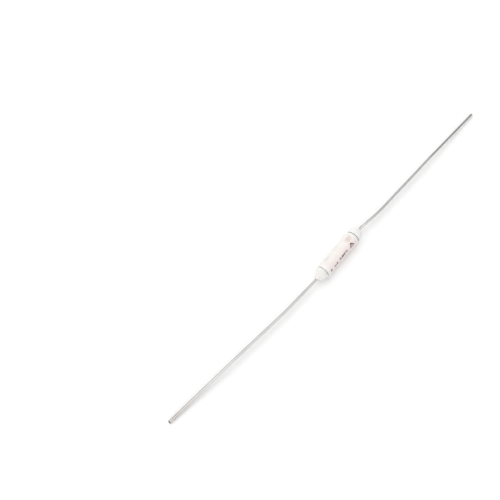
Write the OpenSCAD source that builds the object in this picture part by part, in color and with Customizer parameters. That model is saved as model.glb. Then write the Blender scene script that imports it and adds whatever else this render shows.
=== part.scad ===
// Axial thermal fuse: a ceramic tube closed by washers and resin domes, with a wire lead at each end.
// The tube's axis is X and the origin is the middle of the tube. It lies on a floor at z = -tube_d / 2.

/* [Ceramic tube] */
// Outside diameter of the tube
tube_d = 3; // [2.4:0.1:5]
// Bore of the tube
tube_bore_d = 1.9; // [1.5:0.05:2.2]
// Length of the tube between its end faces
tube_len = 9.9; // [8:0.1:16]
// Radius of the rounded outer rim at each end
tube_rim_r = 0.35; // [0.05:0.05:0.4]

/* [End washers] */
// Thickness of each washer
washer_t = 0.2; // [0.1:0.05:0.4]
// Step in from the tube's wall to the washer's edge
washer_inset = 0.07; // [0:0.01:0.2]
// Clearance round the lead in the washer's hole
washer_hole_gap = 0.03; // [0.01:0.01:0.1]

/* [Seals] */
// Height of the resin dome over the washer
seal_h = 1.95; // [1.2:0.05:2.4]
// Step in from the washer's edge to the foot of the dome
seal_inset = 0.03; // [0:0.01:0.1]
// Radius of the hollow fillet where resin has crept up the lead
seal_creep_r = 0.14; // [0.05:0.01:0.3]

/* [Leads] */
// Diameter of the wire
lead_d = 0.64; // [0.5:0.02:0.9]
// Length of each lead outside its seal, along the wire
lead_len = 39.5; // [34:0.5:60]
// Depth of each lead's inner end inside the tube
lead_depth = 2.4; // [1.2:0.1:3]
// Straight length between the seal and the first bend
lead_stub = 0.25; // [0.1:0.05:2]
// Radius of the bend next to the seal, at the middle of the wire
lead_exit_bend_r = 5; // [2:0.5:10]
// Radius of the gentle bend along the run
lead_sway_bend_r = 40; // [10:5:60]
// Radius of the bend down to the floor
lead_droop_bend_r = 30; // [10:5:60]

/* [Left lead] */
// Sideways turn where the left lead leaves its seal, in degrees
left_exit_angle = -3.3; // [-15:0.1:-0.5]
// Straight run of the left lead between its first two bends
left_run = 8; // [4:0.5:14]
// Second sideways turn of the left lead, in degrees
left_sway_angle = -2.7; // [-10:0.1:-0.5]
// Straight end of the left lead, down to its tip on the floor
left_tail = 15; // [8:0.5:20]

/* [Right lead] */
// Sideways turn where the right lead leaves its seal, in degrees
right_exit_angle = -8; // [-15:0.1:-0.5]
// Straight run of the right lead between its first two bends
right_run = 3; // [2:0.5:14]
// Second sideways turn of the right lead, in degrees
right_sway_angle = 5.6; // [0.5:0.1:10]
// Straight end of the right lead, down to its tip on the floor
right_tail = 14; // [8:0.5:20]

/* [Fusible link] */
// Diameter of the alloy bar
link_d = 1.1; // [1:0.05:1.3]
// Length of each lead's inner end that the alloy grips
link_grip = 0.6; // [0.2:0.1:1]
// Radius of the bar's rounded ends
link_edge_r = 0.15; // [0.05:0.05:0.2]

/* [Flux] */
// Clearance between the flux and the tube's bore
flux_gap = 0.12; // [0.05:0.01:0.15]
// Length of flux past each end of the link
flux_over = 0.5; // [0.2:0.1:1]
// Radius of the flux's rounded ends
flux_edge_r = 0.4; // [0.1:0.05:0.5]

/* [Hidden] */
$fn = 96;
// Cuts pass the faces they open by this much
cut_over = 1;
// A bent stretch of wire is drawn this much thinner than its straights
bend_neck = 0.002;
// Each end of a bent stretch is buried this far in the straight next to it
bend_lap = 0.1;

tube_r = tube_d / 2;
lead_r = lead_d / 2;
washer_r = tube_r - washer_inset;
washer_hole_r = lead_r + washer_hole_gap;
washer_x = tube_len / 2;

// The dome is a pointed arch turned about the lead, upright at its foot and cut off where the fillet starts
seal_r = washer_r - seal_inset;
seal_x = washer_x + washer_t;
seal_tip_r = lead_r + seal_creep_r;
seal_arch_h = seal_h - seal_creep_r;
seal_taper = seal_r - seal_tip_r;
seal_arch_r = (seal_arch_h * seal_arch_h + seal_taper * seal_taper) / (2 * seal_taper);

lead_inner_x = tube_len / 2 - lead_depth;
lead_inner_len = seal_x + seal_h - lead_inner_x;

link_r = link_d / 2;
link_len = 2 * (lead_inner_x + link_grip);

flux_r = tube_bore_d / 2 - flux_gap;
flux_len = link_len + 2 * flux_over;

// Turn of the last bend, which brings the rim of the cut tip from the tube's axis down to the floor
function droop_angle(tail, bend_r) =
    asin((tube_r - bend_r) / norm([tail, lead_r - bend_r])) - atan2(lead_r - bend_r, tail);

function arc_len(turn, bend_r) = abs(turn) * PI / 180 * bend_r;

// Turns a shape drawn up the Z axis to run along X from the given place, to the right or to the left
module along_x(x, side = 1) {
    rotate([0, side > 0 ? 0 : 180, 0])
        translate([x, 0, 0])
            rotate([0, 90, 0])
                children();
}

// A round bar about X, centred on the origin, with its end edges rounded
module round_bar(r, length, edge_r) {
    along_x(-length / 2)
        rotate_extrude()
            union() {
                square([r - edge_r, length]);
                translate([0, edge_r])
                    square([r, length - 2 * edge_r]);
                translate([r - edge_r, edge_r])
                    circle(edge_r);
                translate([r - edge_r, length - edge_r])
                    circle(edge_r);
            }
}

module ceramic_tube() {
    color([0.95, 0.93, 0.90])
        difference() {
            round_bar(tube_r, tube_len, tube_rim_r);
            along_x(-tube_len / 2 - cut_over)
                cylinder(r = tube_bore_d / 2, h = tube_len + 2 * cut_over);
        }
}

module end_washer(side) {
    color([0.50, 0.50, 0.50])
        along_x(washer_x, side)
            difference() {
                cylinder(r = washer_r, h = washer_t);
                translate([0, 0, -cut_over])
                    cylinder(r = washer_hole_r, h = washer_t + 2 * cut_over);
            }
}

module seal_profile() {
    intersection() {
        translate([seal_r - seal_arch_r, 0])
            circle(seal_arch_r);
        translate([lead_r, 0])
            square([seal_r - lead_r, seal_arch_h]);
    }
    difference() {
        translate([lead_r, seal_arch_h])
            square(seal_creep_r);
        translate([seal_tip_r, seal_h])
            circle(seal_creep_r);
    }
}

module seal(side) {
    color([0.97, 0.96, 0.93])
        along_x(seal_x, side)
            rotate_extrude()
                seal_profile();
}

// A round arc that starts at the origin along X and turns left for a positive turn
module wire_bend(turn, bend_r) {
    way = sign(turn);
    lap = bend_lap / bend_r * 180 / PI;
    translate([0, way * bend_r, 0])
        rotate([0, 0, (way > 0 ? -90 : 90 + turn) - lap])
            rotate_extrude(angle = abs(turn) + 2 * lap)
                translate([bend_r, 0])
                    circle(lead_r - bend_neck);
}

// A wire formed as by hand: each step feeds a straight length along X, rolls and bends, and the rest follows
module bent_wire(steps, i = 0) {
    feed = steps[i][0];
    turn = steps[i][1];
    bend_r = steps[i][2];
    roll = steps[i][3];
    along_x(0)
        cylinder(r = lead_r, h = feed);
    if (i < len(steps) - 1)
        translate([feed, 0, 0])
            rotate([roll, 0, 0]) {
                wire_bend(turn, bend_r);
                translate([bend_r * sin(abs(turn)), sign(turn) * bend_r * (1 - cos(turn)), 0])
                    rotate([0, 0, turn])
                        rotate([-roll, 0, 0])
                            bent_wire(steps, i + 1);
            }
}

module lead(side, exit_angle, run, sway_angle, tail) {
    droop = droop_angle(tail, lead_droop_bend_r);
    level_run = lead_len - lead_stub - run - tail
        - arc_len(exit_angle, lead_exit_bend_r)
        - arc_len(sway_angle, lead_sway_bend_r)
        - arc_len(droop, lead_droop_bend_r);
    color([0.72, 0.72, 0.72])
        rotate([0, 0, side > 0 ? 0 : 180])
            translate([lead_inner_x, 0, 0])
                bent_wire([
                    [lead_inner_len + lead_stub, exit_angle, lead_exit_bend_r, 0],
                    [run, sway_angle, lead_sway_bend_r, 0],
                    [level_run, droop, lead_droop_bend_r, -90],
                    [tail, 0, 0, 0]
                ]);
}

module end_washer_left() end_washer(-1);
module end_washer_right() end_washer(1);
module seal_left() seal(-1);
module seal_right() seal(1);
module lead_left() lead(-1, left_exit_angle, left_run, left_sway_angle, left_tail);
module lead_right() lead(1, right_exit_angle, right_run, right_sway_angle, right_tail);

module fusible_link() {
    color([0.66, 0.66, 0.70])
        difference() {
            round_bar(link_r, link_len, link_edge_r);
            for (side = [-1, 1])
                along_x(lead_inner_x, side)
                    cylinder(r = lead_r, h = link_grip + cut_over);
        }
}

module flux_coat() {
    color([0.80, 0.62, 0.30])
        difference() {
            round_bar(flux_r, flux_len, flux_edge_r);
            round_bar(link_r, link_len, link_edge_r);
            for (side = [-1, 1])
                along_x(lead_inner_x + link_grip - link_edge_r, side)
                    cylinder(r = lead_r, h = flux_over + link_edge_r + cut_over);
        }
}

ceramic_tube();
end_washer_left();
end_washer_right();
seal_left();
seal_right();
lead_left();
lead_right();
fusible_link();
flux_coat();
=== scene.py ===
import math

import bmesh
import bpy
from mathutils import Matrix, Vector, noise

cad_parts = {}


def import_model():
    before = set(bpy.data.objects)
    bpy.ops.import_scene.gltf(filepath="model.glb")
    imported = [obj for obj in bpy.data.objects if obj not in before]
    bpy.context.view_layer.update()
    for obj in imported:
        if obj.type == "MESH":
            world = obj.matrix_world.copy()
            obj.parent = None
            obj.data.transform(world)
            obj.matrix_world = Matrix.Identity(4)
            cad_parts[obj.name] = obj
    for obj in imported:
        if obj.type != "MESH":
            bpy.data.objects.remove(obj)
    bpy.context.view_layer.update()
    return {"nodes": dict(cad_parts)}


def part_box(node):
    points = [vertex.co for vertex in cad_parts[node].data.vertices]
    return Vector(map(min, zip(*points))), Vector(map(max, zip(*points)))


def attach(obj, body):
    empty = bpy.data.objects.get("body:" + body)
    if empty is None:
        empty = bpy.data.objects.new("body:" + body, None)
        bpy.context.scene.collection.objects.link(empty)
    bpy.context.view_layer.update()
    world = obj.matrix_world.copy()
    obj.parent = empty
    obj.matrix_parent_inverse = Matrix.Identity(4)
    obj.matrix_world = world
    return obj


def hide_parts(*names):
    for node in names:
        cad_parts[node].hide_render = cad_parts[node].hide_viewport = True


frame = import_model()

MM = 0.001


def corners_mm(node):
    """Lowest and highest corner of a CAD node, in millimetres."""
    return [Vector(corner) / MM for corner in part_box(node)]


# Sizes that the solids give, in millimetres
TUBE_HALF, _, TUBE_R = corners_mm("ceramic_tube")[1]
FLOOR_Z = -TUBE_R
SEAL_X, WASHER_R = corners_mm("end_washer_right")[1].xy
SEAL_TIP_X, SEAL_R = corners_mm("seal_right")[1].xy
SEAL_H = SEAL_TIP_X - SEAL_X
LEAD_INNER_X, _, _ = corners_mm("lead_right")[0]
LEAD_R = corners_mm("lead_right")[1].z

# Sizes that the solids don't show in their corners, as the part's source has them
TUBE_BORE_R = 0.95
TUBE_RIM = 0.35
WASHER_HOLE_R = 0.35
SEAL_CREEP = 0.14
LEAD_LEN = 39.5
LEAD_STUB = 0.25
EXIT_BEND, SWAY_BEND, DROOP_BEND = 5.0, 40.0, 30.0
LEADS = {
    "left": dict(side=-1, exit_turn=-3.3, run=8.0, sway_turn=-2.7, tail=15.0),
    "right": dict(side=1, exit_turn=-8.0, run=3.0, sway_turn=5.6, tail=14.0),
}

# The photograph's camera over the floor, and the body's place and turn under it, in millimetres and degrees
FOCAL_PX, FRAME_PX = 700.0, 500.0
CAMERA_TILT = 66.57
CAMERA_HEIGHT = 130.9
BODY_PLACE = (17.73, 55.19)
BODY_TURN = 50.0


def from_camera_side(right, away, up):
    """A direction given as seen from the camera, turned into the row's frame."""
    return Matrix.Rotation(math.radians(-BODY_TURN), 3, "Z") @ Vector((right, away, up))


# Nodes and materials

class Nodes:
    """An emptied node tree, with short calls for what is put in it."""

    def __init__(self, tree):
        self.tree = tree
        tree.nodes.clear()

    def node(self, kind, **settings):
        n = self.tree.nodes.new(kind)
        for key, value in settings.items():
            setattr(n, key, value)
        return n

    def link(self, output, socket):
        self.tree.links.new(output, socket)

    def put(self, value, socket):
        if isinstance(value, bpy.types.NodeSocket):
            self.link(value, socket)
        elif isinstance(value, tuple):
            socket.default_value = (*value, 1.0)
        else:
            socket.default_value = value

    def math(self, operation, *values):
        n = self.node("ShaderNodeMath", operation=operation)
        for value, socket in zip(values, n.inputs):
            self.put(value, socket)
        return n.outputs[0]

    def add(self, a, b):
        return self.math("ADD", a, b)

    def minus(self, a, b):
        return self.math("SUBTRACT", a, b)

    def times(self, a, b):
        return self.math("MULTIPLY", a, b)

    def larger(self, a, b):
        return self.math("MAXIMUM", a, b)

    def away_from(self, a, b):
        return self.math("ABSOLUTE", self.minus(a, b))

    def ramp(self, value, start, end, low=0.0, high=1.0):
        n = self.node("ShaderNodeMapRange", interpolation_type="SMOOTHSTEP")
        for v, socket in zip((value, start, end, low, high), n.inputs):
            self.put(v, socket)
        return n.outputs[0]

    def blend(self, factor, a, b):
        n = self.node("ShaderNodeMix", data_type="FLOAT")
        for value, socket in zip((factor, a, b), (n.inputs[0], n.inputs[2], n.inputs[3])):
            self.put(value, socket)
        return n.outputs[0]


class Material(Nodes):
    """A principled material whose coordinates are the row's, in millimetres."""

    def __init__(self, name):
        self.data = bpy.data.materials.new(name)
        self.data.use_nodes = True
        super().__init__(self.data.node_tree)
        self.bsdf = self.node("ShaderNodeBsdfPrincipled")
        self.link(self.bsdf.outputs[0], self.node("ShaderNodeOutputMaterial").inputs["Surface"])
        scaled = self.node("ShaderNodeVectorMath", operation="SCALE")
        scaled.inputs["Scale"].default_value = 1.0 / MM
        self.link(self.node("ShaderNodeTexCoord").outputs["Object"], scaled.inputs[0])
        self.place = scaled.outputs["Vector"]
        split = self.node("ShaderNodeSeparateXYZ")
        self.link(self.place, split.inputs[0])
        self.x, self.y, self.z = split.outputs

    def set(self, **values):
        for key, value in values.items():
            self.put(value, self.bsdf.inputs[key.replace("_", " ")])

    def stretched(self, *scale):
        n = self.node("ShaderNodeMapping")
        n.inputs["Scale"].default_value = scale
        self.link(self.place, n.inputs["Vector"])
        return n.outputs[0]

    def noise(self, per_mm, detail=3.0, roughness=0.55, vector=None):
        n = self.node("ShaderNodeTexNoise")
        self.put(per_mm, n.inputs["Scale"])
        self.put(detail, n.inputs["Detail"])
        self.put(roughness, n.inputs["Roughness"])
        self.link(vector or self.place, n.inputs["Vector"])
        return n.outputs[0]

    def cells(self, per_mm):
        n = self.node("ShaderNodeTexVoronoi")
        self.put(per_mm, n.inputs["Scale"])
        self.link(self.place, n.inputs["Vector"])
        return n.outputs["Distance"]

    def chance(self, value):
        n = self.node("ShaderNodeTexWhiteNoise", noise_dimensions="1D")
        self.put(value, n.inputs["W"])
        return n.outputs["Value"]

    def mix(self, factor, a, b):
        n = self.node("ShaderNodeMix", data_type="RGBA")
        for value, socket in zip((factor, a, b), (n.inputs[0], n.inputs[6], n.inputs[7])):
            self.put(value, socket)
        return n.outputs[2]

    def bump(self, height, depth_mm, strength):
        n = self.node("ShaderNodeBump")
        self.put(strength, n.inputs["Strength"])
        self.put(depth_mm * MM, n.inputs["Distance"])
        self.link(height, n.inputs["Height"])
        self.link(n.outputs[0], self.bsdf.inputs["Normal"])


# The print: its soft edge, its climb per millimetre along the tube, and its lift as a whole
INK_EDGE = 0.04
STAMP_SKEW = 0.07
STAMP_LIFT = 0.12
INK_BOLD, INK_FAINT = 0.95, 0.3
INK_COLOUR = (0.10, 0.028, 0.034)
BLEED_COLOUR = (0.95, 0.79, 0.775)
# Rows of bars: weight, place round the tube, height, pitch, seed, and where each word starts and ends
BAR_ROWS = (
    (INK_BOLD, 1.38, 0.50, 0.42, 3.0, ((-4.1, -3.65), (-3.05, -1.8), (-1.1, -0.65), (-0.45, 1.4))),
    (INK_FAINT, 2.0, 0.44, 0.40, 17.0, ((-3.9, -2.4), (-1.9, 0.6), (1.1, 3.5))),
    (INK_FAINT, 2.6, 0.44, 0.40, 29.0, ((-3.9, -0.9), (-0.3, 2.9))),
)
TRIANGLE = dict(x=2.9, top=0.88, foot=1.90, half=0.78, stroke=0.25)
# Soft patches, with place along and round the tube, reach both ways and colour: a brown one above the stamp,
# and a grey one near each end on the side towards +Y
TUBE_PATCHES = (
    ((3.25, 0.15), (0.85, 0.6), (0.66, 0.50, 0.47)),
    ((3.5, -1.75), (0.8, 0.5), (0.66, 0.66, 0.64)),
    ((-2.7, -1.1), (0.7, 0.55), (0.72, 0.735, 0.715)),
)


def within(m, value, start, end):
    """One between start and end, fading over the width of an ink edge."""
    rise = m.ramp(value, start - INK_EDGE, start + INK_EDGE)
    return m.times(rise, m.ramp(value, end - INK_EDGE, end + INK_EDGE, 1.0, 0.0))


def bar_row(m, along, arc, centre, height, pitch, seed, words):
    """A row of upright bars of uneven width and height, in words that start and end at the places given."""
    cell = m.math("FLOOR", m.math("DIVIDE", along, pitch))
    place = m.times(m.math("FRACT", m.math("DIVIDE", along, pitch)), pitch)
    wide = m.ramp(m.chance(m.add(cell, seed)), 0.0, 1.0, 0.55 * pitch, 0.9 * pitch)
    tall = m.ramp(m.chance(m.add(cell, seed + 40.5)), 0.0, 1.0, 0.6 * height, height)
    bar = m.ramp(m.minus(wide, place), -INK_EDGE, INK_EDGE)
    off = m.minus(m.times(tall, 0.5), m.away_from(arc, centre))
    bar = m.times(bar, m.ramp(off, -INK_EDGE, INK_EDGE))
    word = None
    for start, end in words:
        span = within(m, along, start, end)
        word = span if word is None else m.larger(word, span)
    return m.times(bar, word)


def open_triangle(m, along, arc, x, top, foot, half, stroke):
    """The outline of a plain triangle whose foot lies along the tube."""
    slope = (foot - top) / half
    lean = math.hypot(1.0, slope)
    side = m.minus(m.minus(arc, top), m.times(m.away_from(along, x), slope))
    depth = m.math("MINIMUM", m.minus(foot, arc), m.math("DIVIDE", side, lean))
    return within(m, depth, 0.0, stroke)


def soft_patch(m, along, arc, place, reach):
    """A soft broken patch round a place on the tube."""
    parts = []
    for value, middle, half in zip((along, arc), place, reach):
        part = m.math("DIVIDE", m.away_from(value, middle), half)
        parts.append(m.times(part, part))
    patch = m.ramp(m.add(m.add(*parts), m.noise(2.6, 4.0, 0.6)), 0.3, 2.0, 1.0, 0.0)
    return m.times(patch, m.ramp(m.noise(6.0, 4.0, 0.65), 0.35, 0.65, 0.3, 0.8))


def ceramic_material():
    """White unglazed ceramic, stained a little, with plain stamped marks on the side towards -Y."""
    m = Material("ceramic")
    cream, rose = (0.917, 0.892, 0.843), (0.917, 0.833, 0.808)
    grey, clean = (0.78, 0.785, 0.765), (0.935, 0.925, 0.905)
    colour = m.mix(m.ramp(m.noise(0.75, 4.0), 0.44, 0.60), cream, rose)
    mottle = m.noise(1.1, 4.0, vector=m.stretched(0.8, 1.1, 0.9))
    colour = m.mix(m.ramp(mottle, 0.55, 0.72, 0.0, 0.7), colour, grey)
    colour = m.mix(m.ramp(m.noise(7.0, 3.0), 0.4, 0.75, 0.0, 0.35), colour, clean)
    rim = m.ramp(m.math("ABSOLUTE", m.x), TUBE_HALF - 0.9, TUBE_HALF - 0.5)
    colour = m.mix(m.times(rim, 0.8), colour, clean)
    # Grey patches round both rims, laid by noise.
    rim_greying = m.ramp(m.noise(1.3, 4.0, 0.6, vector=m.stretched(0.5, 1.0, 1.0)), 0.5, 0.66)
    colour = m.mix(m.times(m.times(rim, rim_greying), 0.7), colour, grey)

    # Distance round the tube from its top towards -Y; the stamp sits a little askew
    turn = m.math("ARCTAN2", m.times(m.y, -1.0), m.z)
    wobble = m.times(m.minus(m.noise(3.4, 2.0), 0.5), 0.12)
    askew = m.add(m.times(m.x, STAMP_SKEW), STAMP_LIFT)
    arc = m.add(m.add(m.times(turn, TUBE_R), wobble), askew)
    along = m.add(m.x, wobble)

    # Ink that is broken in places and thinner down the side
    ink = open_triangle(m, along, arc, **TRIANGLE)
    for weight, *row in BAR_ROWS:
        ink = m.larger(ink, m.times(bar_row(m, along, arc, *row), weight))
    ink = m.times(ink, m.ramp(m.noise(4.5, 4.0, 0.65), 0.30, 0.42, 0.45, 1.0))
    ink = m.times(ink, m.ramp(arc, 1.5, 1.9, 1.0, 0.4))

    # Thin ink carried past the stamp
    bleed = m.times(m.ramp(m.away_from(arc, 1.9), 0.3, 2.4, 1.0, 0.0), m.minus(1.0, rim))
    bleed = m.times(bleed, m.ramp(m.noise(2.2, 4.0, 0.6), 0.36, 0.62, 0.12, 0.85))
    colour = m.mix(bleed, colour, BLEED_COLOUR)
    for place, reach, tint in TUBE_PATCHES:
        colour = m.mix(soft_patch(m, along, arc, place, reach), colour, tint)
    colour = m.mix(ink, colour, INK_COLOUR)
    m.set(Base_Color=colour, Roughness=m.ramp(m.noise(3.0, 3.0), 0.3, 0.7, 0.45, 0.62))
    m.bump(m.add(m.noise(14.0, 4.0, 0.6), m.times(m.noise(1.8, 2.0), 2.0)), 0.012, 0.35)
    return m.data


def resin_material():
    """Cast white resin with flow clouds and small pits, with painted shade towards -X and painted light
    towards +X.
    """
    m = Material("resin")
    # Painted light and shade: colour graded from darker at the -X dome to lighter at the +X dome, where more
    # light falls.
    colour = m.mix(m.ramp(m.x, -SEAL_X, SEAL_X), (0.895, 0.882, 0.858), (0.965, 0.96, 0.945))
    # Flow stains, weaker towards +X: real stains in part, and in part painted shade on the -X dome and
    # painted light on the +X dome.
    cloud = m.noise(1.5, 4.0, 0.6, vector=m.stretched(0.6, 1.2, 1.2))
    stain_and_shade = m.times(m.ramp(cloud, 0.34, 0.7), m.ramp(m.x, -SEAL_X, SEAL_X, 1.0, 0.25))
    colour = m.mix(stain_and_shade, colour, (0.80, 0.772, 0.738))
    pits = m.ramp(m.cells(2.6), 0.03, 0.12, 1.0, 0.0)
    colour = m.mix(m.times(pits, 0.35), colour, (0.55, 0.49, 0.44))
    m.set(Base_Color=colour, Roughness=m.ramp(m.noise(2.4, 3.0), 0.3, 0.7, 0.3, 0.48))
    m.set(Subsurface_Weight=0.1)
    m.bsdf.inputs["Subsurface Radius"].default_value = (0.5 * MM, 0.4 * MM, 0.3 * MM)
    m.bump(m.minus(m.times(m.noise(2.2, 3.0), 1.5), pits), 0.03, 0.5)
    return m.data


def washer_material():
    """Dull grey metal with a few smears of resin."""
    m = Material("washer_metal")
    smear = m.ramp(m.noise(1.1, 3.0, 0.6), 0.56, 0.64, 0.0, 0.3)
    metal = m.mix(m.noise(6.0, 3.0), (0.26, 0.255, 0.25), (0.42, 0.415, 0.405))
    m.set(Base_Color=m.mix(smear, metal, (0.80, 0.79, 0.75)))
    m.set(Metallic=m.ramp(smear, 0.0, 1.0, 0.7, 0.0))
    m.set(Roughness=m.ramp(m.noise(8.0, 3.0), 0.3, 0.7, 0.45, 0.62))
    return m.data


# The wire's roughness, where the left lead's copper starts to show and shows most, and where the film
# of resin on the right lead starts to fade and has gone
WIRE_BRIGHT, WIRE_DULL = 0.16, 0.28
BARE_FROM, BARE_TO = -36.0, -46.0
FILM_FROM, FILM_TO = SEAL_TIP_X + 1.0, SEAL_TIP_X + 3.0


def wire_material():
    """Tinned copper wire with lengthwise drawing streaks and dull patches.

    Copper shows towards the left tip, and a thin film of resin lies on the side of the right lead
    towards -Y, next to its dome.
    """
    m = Material("tinned_wire")
    streak = m.noise(1.0, 4.0, 0.6, vector=m.stretched(0.35, 9.0, 9.0))
    patch = m.noise(0.22, 3.0, vector=m.stretched(1.0, 2.0, 2.0))
    colour = m.mix(m.ramp(streak, 0.3, 0.7), (0.785, 0.775, 0.76), (0.865, 0.855, 0.84))
    colour = m.mix(m.ramp(patch, 0.5, 0.72, 0.0, 0.5), colour, (0.71, 0.695, 0.675))
    bare = m.ramp(m.x, BARE_FROM, BARE_TO, 0.0, 0.65)
    bare = m.times(bare, m.ramp(m.noise(0.8, 2.0), 0.3, 0.6, 0.6, 1.0))
    colour = m.mix(bare, colour, (0.60, 0.545, 0.51))
    film = m.times(m.ramp(m.x, 0.0, SEAL_X), m.ramp(m.x, FILM_FROM, FILM_TO, 1.0, 0.0))
    film = m.times(film, m.ramp(m.add(m.y, m.times(m.noise(1.6, 3.0), 0.2)), 0.25, 0.0, 0.0, 0.5))
    colour = m.mix(film, colour, (0.93, 0.915, 0.89))
    dull = m.add(streak, m.times(patch, 0.6))
    m.set(Base_Color=colour, Metallic=m.minus(1.0, film))
    m.set(Roughness=m.ramp(dull, 0.55, 1.1, WIRE_BRIGHT, WIRE_DULL))
    m.bump(streak, 0.004, 0.3)
    return m.data


def cut_material():
    """The face left by the cutter: bare copper, scored and dull."""
    m = Material("cut_wire_end")
    score = m.noise(6.0, 3.0, vector=m.stretched(1.0, 1.0, 4.0))
    m.set(Base_Color=m.mix(score, (0.10, 0.085, 0.075), (0.24, 0.20, 0.175)))
    m.set(Metallic=0.9, Roughness=m.ramp(score, 0.3, 0.7, 0.45, 0.65))
    m.bump(score, 0.01, 0.5)
    return m.data


def alloy_material():
    """Dull grey cast alloy, for the link inside."""
    m = Material("alloy")
    grain = m.cells(5.0)
    m.set(Base_Color=m.mix(grain, (0.42, 0.42, 0.44), (0.60, 0.60, 0.62)))
    m.set(Metallic=1.0, Roughness=m.ramp(m.noise(4.0, 3.0), 0.3, 0.7, 0.35, 0.55))
    m.bump(grain, 0.02, 0.3)
    return m.data


def flux_material():
    """Amber resin flux, for the coat inside."""
    m = Material("flux")
    cloud = m.noise(1.5, 4.0)
    m.set(Base_Color=m.mix(cloud, (0.42, 0.24, 0.07), (0.68, 0.46, 0.18)))
    m.set(Roughness=m.ramp(cloud, 0.3, 0.7, 0.15, 0.3))
    m.bump(m.noise(3.0, 2.0), 0.03, 0.3)
    return m.data


# Pieces: how far each strays from its plain solid, in millimetres
CHIP_DEPTH, CHIP_REACH = 0.09, 0.2
WASHER_EDGE = 0.03
LAP = ((-0.2, 0.004), (-0.16, 0.016), (-0.09, 0.018), (-0.03, 0.0))
DOME_LUMP, CREEP_RUN = 0.04, 0.12
SEAL_GRIP, FOOT_INSET = 0.01, 0.2
WIRE_SWAY, WIRE_WAVE = 0.03, 0.02
SWAY_FROM, SWAY_BUILD, SWAY_STOP = 6.0, 6.0, 4.0
NIP_REACH = 0.35
CUT_SLANT = 0.3

# The same, as shares: where noise makes a chip, how the wire swells and is squeezed, and how the lap varies
CHIP_LEAST = 0.22
WIRE_SWELL = 0.006
NIP_WIDER, NIP_FLATTER = 0.03, 0.12
LAP_SPREAD, LAP_LEAST = 0.45, 0.35

# Points round and along the meshes
TUBE_STEPS, WASHER_STEPS, DOME_STEPS, WIRE_STEPS = 160, 128, 144, 36
RIM_STEPS, WALL_STEPS, ARCH_STEPS, CREEP_STEPS = 14, 40, 40, 10
WIRE_STEP, BEND_STEP = 0.25, 0.12


def add_piece(name, bm, sharp_deg, slot, node, *materials):
    """Makes an object of a mesh, with edges sharper than the angle kept crisp, in place of a CAD node."""
    bmesh.ops.recalc_face_normals(bm, faces=bm.faces)
    for edge in bm.edges:
        edge.smooth = edge.calc_face_angle(0.0) < math.radians(sharp_deg)
    mesh = bpy.data.meshes.new(name)
    bm.to_mesh(mesh)
    bm.free()
    for material in materials:
        mesh.materials.append(material)
    obj = bpy.data.objects.new(name, mesh)
    bpy.context.collection.objects.link(obj)
    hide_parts(node)
    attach(obj, "root")


def skin(bm, rings, closed=False):
    """Joins each ring of points to the next with smooth faces."""
    pairs = list(zip(rings, rings[1:]))
    if closed:
        pairs.append((rings[-1], rings[0]))
    for a, b in pairs:
        for j in range(len(a)):
            k = (j + 1) % len(a)
            bm.faces.new((a[j], a[k], b[k], b[j])).smooth = True


def turned(loop, steps, shape=None):
    """A solid turned about X from a closed loop of (x, r) points, moved by shape(x, r, turn) where given."""
    bm = bmesh.new()
    rings = []
    for x, r in loop:
        ring = []
        for j in range(steps):
            turn = 2 * math.pi * j / steps
            px, pr = shape(x, r, turn) if shape else (x, r)
            ring.append(bm.verts.new(Vector((px, -pr * math.sin(turn), pr * math.cos(turn))) * MM))
        rings.append(ring)
    skin(bm, rings, closed=True)
    return bm


def arc_points(cx, cy, r, start, end, count):
    turns = [math.radians(start + (end - start) * i / count) for i in range(count + 1)]
    return [(cx + r * math.cos(a), cy + r * math.sin(a)) for a in turns]


def grain_at(*place):
    return noise.noise(Vector(place))


def clamped(value, low=0.0, high=1.0):
    return min(max(value, low), high)


def tube_piece(material):
    """The tube, with small chips knocked out of its rims."""
    flat = TUBE_HALF - TUBE_RIM
    right = arc_points(flat, TUBE_R - TUBE_RIM, TUBE_RIM, 90, 0, RIM_STEPS)
    left = arc_points(-flat, TUBE_R - TUBE_RIM, TUBE_RIM, 180, 90, RIM_STEPS)
    wall = [(flat * (2 * i / WALL_STEPS - 1), TUBE_R) for i in range(1, WALL_STEPS)]
    bore = [(TUBE_HALF, TUBE_BORE_R), (-TUBE_HALF, TUBE_BORE_R)]

    def chipped(x, r, turn):
        on_rim = max(0.0, 1.0 - abs(abs(x) - TUBE_HALF + CHIP_REACH) / CHIP_REACH) if r > TUBE_BORE_R else 0.0
        chip = max(0.0, grain_at(math.cos(turn) * 2.6, math.sin(turn) * 2.6, x) - CHIP_LEAST)
        return x, r - CHIP_DEPTH * on_rim * chip

    bm = turned(left + wall + right + bore, TUBE_STEPS, chipped)
    add_piece("tube", bm, 40, "ceramic", "ceramic_tube", material)


def washer_piece(name, side, material):
    a, b, edge = TUBE_HALF, SEAL_X, WASHER_EDGE
    loop = [(a, WASHER_HOLE_R), (a, WASHER_R - edge), (a + edge, WASHER_R)]
    loop += [(b - edge, WASHER_R), (b, WASHER_R - edge), (b, WASHER_HOLE_R)]
    bm = turned([(side * x, r) for x, r in loop], WASHER_STEPS)
    add_piece("washer_" + name, bm, 30, "washer", "end_washer_" + name, material)


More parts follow.
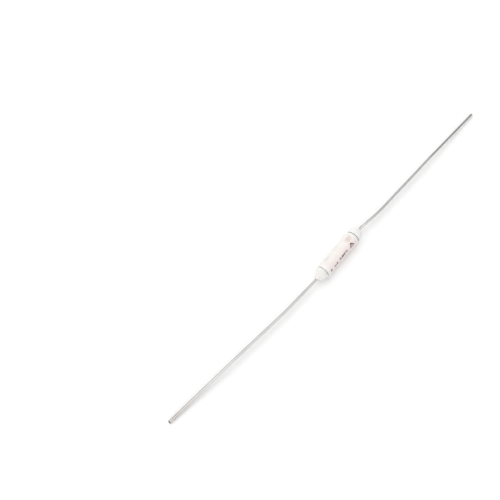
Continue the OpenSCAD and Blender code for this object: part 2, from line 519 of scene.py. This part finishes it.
def seal_piece(name, side, lap_mean, seed, material):
    """The dome as it sets: a pointed arch, not quite round, that laps unevenly over the washer's edge."""
    tip_r = LEAD_R + SEAL_CREEP
    rise, taper = SEAL_H - SEAL_CREEP, SEAL_R - tip_r
    arch = (rise * rise + taper * taper) / (2 * taper)
    top = math.degrees(math.asin(rise / arch))
    dome = [(h, r) for r, h in arc_points(SEAL_R - arch, 0.0, arch, 0.0, top, ARCH_STEPS)]
    creep = [(h, r) for r, h in arc_points(tip_r, SEAL_H, SEAL_CREEP, -90, -180, CREEP_STEPS)]
    lap = [(h, WASHER_R + proud) for h, proud in LAP]
    inner_r = LEAD_R - SEAL_GRIP
    inside = [(SEAL_H, inner_r), (0.0, inner_r), (0.0, SEAL_R - FOOT_INSET)]

    def set_by_hand(h, r, turn):
        c, s = math.cos(turn), math.sin(turn)
        if h < 0:
            cover = clamped(lap_mean + LAP_SPREAD * grain_at(c * 1.5, s * 1.5, seed), LAP_LEAST)
            return side * (SEAL_X + h * cover), SEAL_R + (r - SEAL_R) * min(cover * 2, 1.0)
        if h > 0 and r > LEAD_R:
            lump = grain_at(h * 0.9 + seed, c * r, s * r)
            r += DOME_LUMP * lump * min(h * 4, 1.0) * min((r - LEAD_R) * 3, 1.0)
            past = max(0.0, h - rise) / SEAL_CREEP
            h += CREEP_RUN * past * grain_at(c, s, seed + 5)
        return side * (SEAL_X + h), r

    bm = turned(lap + dome + creep[1:] + inside, DOME_STEPS, set_by_hand)
    add_piece("seal_cap_" + name, bm, 60, "seal", "seal_" + name, material)


def wire_path(side, exit_turn, run, sway_turn, tail):
    """Points along the wire's middle, fed and bent step by step as the solid is."""
    fall = LEAD_R - DROOP_BEND
    droop = math.degrees(math.asin((TUBE_R - DROOP_BEND) / math.hypot(tail, fall)) - math.atan2(fall, tail))
    bends = ((exit_turn, EXIT_BEND, "Z"), (sway_turn, SWAY_BEND, "Z"), (droop, DROOP_BEND, "Y"))
    level = LEAD_LEN - LEAD_STUB - run - tail - sum(math.radians(abs(turn)) * r for turn, r, _ in bends)
    feeds = (SEAL_TIP_X - LEAD_INNER_X + LEAD_STUB, run, level, tail)
    points = [Vector((LEAD_INNER_X, 0.0, 0.0))]
    way = Matrix.Identity(3)

    def feed(length, count):
        for _ in range(count):
            points.append(points[-1] + way @ Vector((length / count, 0.0, 0.0)))

    for length, bend in zip(feeds, bends + (None,)):
        feed(length, round(length / WIRE_STEP))
        if bend:
            turn, radius, axis = bend
            count = max(4, round(math.radians(abs(turn)) * radius / BEND_STEP))
            half = Matrix.Rotation(math.radians(turn / count / 2), 3, axis)
            for _ in range(count):
                way = way @ half
                feed(2 * radius * math.sin(math.radians(abs(turn) / count / 2)), 1)
                way = way @ half
    return [Vector((side * p.x, side * p.y, p.z)) for p in points]


def lead_piece(name, facts, seed, wire, cut):
    """The wire swept along its bends, a little uneven, with a tip squeezed and slanted by the cutter."""
    path = wire_path(**facts)
    last = len(path) - 1
    bm = bmesh.new()
    rings = []
    done = 0.0
    for i, p in enumerate(path):
        before, after = path[max(i - 1, 0)], path[min(i + 1, last)]
        done += (p - before).length
        left = SEAL_TIP_X - LEAD_INNER_X + LEAD_LEN - done
        ahead = (after - before).normalized()
        across = Vector((0, 0, 1)).cross(ahead).normalized()
        up = ahead.cross(across)
        free = clamped((done - SWAY_FROM) / SWAY_BUILD) * min(max(left, 0.0) / SWAY_STOP, 1.0)
        middle = p + across * WIRE_SWAY * free * grain_at(done * 0.16, seed, 0)
        middle += up * WIRE_WAVE * free * grain_at(done * 0.19, seed, 7)
        nip = max(0.0, 1.0 - left / NIP_REACH)
        ring = []
        for j in range(WIRE_STEPS):
            c, s = math.cos(2 * math.pi * j / WIRE_STEPS), math.sin(2 * math.pi * j / WIRE_STEPS)
            r = LEAD_R * (1 + WIRE_SWELL * grain_at(done * 0.7, c, s + seed))
            q = middle + across * r * c * (1 + NIP_WIDER * nip) + up * r * s * (1 - NIP_FLATTER * nip)
            if i == last:
                q -= ahead * CUT_SLANT * (1 + s) / 2
            ring.append(bm.verts.new(q * MM))
        rings.append(ring)
    skin(bm, rings)
    bm.faces.new(rings[0])
    bm.faces.new(rings[-1]).material_index = 1
    add_piece("wire_" + name, bm, 40, "lead", "lead_" + name, wire, cut)


def build_pieces():
    tube_piece(ceramic_material())
    resin, washer = resin_material(), washer_material()
    wire, cut = wire_material(), cut_material()
    for name, lap_mean, seed in (("left", 0.5, 2.7), ("right", 0.82, 8.3)):
        washer_piece(name, LEADS[name]["side"], washer)
        seal_piece(name, LEADS[name]["side"], lap_mean, seed, resin)
        lead_piece(name, LEADS[name], seed, wire, cut)
    for node, material in (("fusible_link", alloy_material()), ("flux_coat", flux_material())):
        slots = frame["nodes"][node].data.materials
        slots.clear()
        slots.append(material)


# Floor, light and camera. Tilts are degrees from overhead. A swing of 0 leans to the camera's left,
# 90 straight away from the camera and -90 back to it. Each sky rises from dark to bright as the cosine
# of the angle to its brightest place goes from start to end.
FLOOR_LOW, FLOOR_HIGH = (0.99,) * 3, (1.0,) * 3
FLOOR_RADIUS = 3.0
KEY_TILT, KEY_SWING, KEY_SPREAD = 32.0, 90.0, 40.0
KEY_STRENGTH = 0.6
FILL_SKY = dict(tilt=35.0, swing=-42.0, start=-0.4, end=0.9, dark=0.105, bright=1.136)
SEEN_SKY = dict(tilt=25.0, swing=-60.0, start=0.2, end=0.9, dark=0.283, bright=1.076)
# Sines of the heights at which the white backdrop round the horizon starts to fade and has gone
BACKDROP_TOP, BACKDROP_END = 0.12, 0.22


def floor():
    """A plain white floor."""
    m = Material("white_floor")
    m.set(Base_Color=m.mix(m.noise(0.05, 2.0), FLOOR_LOW, FLOOR_HIGH))
    m.set(Roughness=0.9, Specular_IOR_Level=0.0)
    bm = bmesh.new()
    bmesh.ops.create_circle(bm, cap_ends=True, segments=96, radius=FLOOR_RADIUS)
    mesh = bpy.data.meshes.new("floor")
    bm.to_mesh(mesh)
    bm.free()
    mesh.materials.append(m.data)
    obj = bpy.data.objects.new("floor", mesh)
    obj.location.z = FLOOR_Z * MM
    bpy.context.collection.objects.link(obj)


def towards(tilt, swing):
    """A direction tilted from overhead, in the row's frame."""
    tilt, swing = math.radians(tilt), math.radians(swing)
    level = math.sin(tilt)
    return from_camera_side(-math.cos(swing) * level, math.sin(swing) * level, math.cos(tilt))


def sky_level(sky, way, tilt, swing, start, end, dark, bright):
    """A level that rises from dark to bright towards a place in the sky."""
    nearness = sky.node("ShaderNodeVectorMath", operation="DOT_PRODUCT")
    sky.link(way, nearness.inputs[0])
    nearness.inputs[1].default_value = towards(tilt, swing)
    return sky.ramp(nearness.outputs["Value"], start, end, dark, bright)


def lamp():
    """A wide, weak sun from the far side, kept out of reflections."""
    data = bpy.data.lights.new("overhead_key", "SUN")
    data.energy = KEY_STRENGTH
    data.angle = math.radians(KEY_SPREAD)
    obj = bpy.data.objects.new("overhead_key", data)
    obj.rotation_euler = towards(KEY_TILT, KEY_SWING).to_track_quat("Z", "Y").to_euler()
    obj.visible_glossy = False
    bpy.context.collection.objects.link(obj)


def world():
    """Two graded skies, each brightest overhead and to the near left.

    The fill sky lights the part. The seen sky, with a white backdrop round the horizon, is what the camera
    and the metal see.
    """
    studio = bpy.data.worlds.new("studio")
    bpy.context.scene.world = studio
    studio.use_nodes = True
    sky = Nodes(studio.node_tree)
    way = sky.node("ShaderNodeTexCoord").outputs["Generated"]
    split = sky.node("ShaderNodeSeparateXYZ")
    sky.link(way, split.inputs[0])
    height = sky.math("ABSOLUTE", split.outputs["Z"])
    backdrop = sky.ramp(height, BACKDROP_TOP, BACKDROP_END, 1.0, 0.0)
    seen = sky.blend(backdrop, sky_level(sky, way, **SEEN_SKY), 1.0)
    rays = sky.node("ShaderNodeLightPath").outputs
    looked_at = sky.larger(rays["Is Camera Ray"], rays["Is Glossy Ray"])
    looked_at = sky.larger(looked_at, rays["Is Transmission Ray"])
    back = sky.node("ShaderNodeBackground")
    sky.put((1.0, 1.0, 1.0), back.inputs["Color"])
    sky.put(sky.blend(looked_at, sky_level(sky, way, **FILL_SKY), seen), back.inputs["Strength"])
    sky.link(back.outputs[0], sky.node("ShaderNodeOutputWorld").inputs["Surface"])


def camera():
    data = bpy.data.cameras.new("photo_camera")
    data.sensor_width = 36.0
    data.lens = FOCAL_PX / FRAME_PX * data.sensor_width
    data.clip_start = MM
    obj = bpy.data.objects.new("photo_camera", data)
    tilt = math.radians(CAMERA_TILT)
    place = from_camera_side(-BODY_PLACE[0], -BODY_PLACE[1], CAMERA_HEIGHT + FLOOR_Z) * MM
    right = from_camera_side(1, 0, 0)
    up = from_camera_side(0, math.sin(tilt), math.cos(tilt))
    turn = Matrix((right, up, right.cross(up))).transposed().to_4x4()
    obj.matrix_world = Matrix.Translation(place) @ turn
    bpy.context.collection.objects.link(obj)
    bpy.context.scene.camera = obj


build_pieces()
floor()
lamp()
world()
camera()
bpy.context.scene.view_settings.view_transform = "Standard"
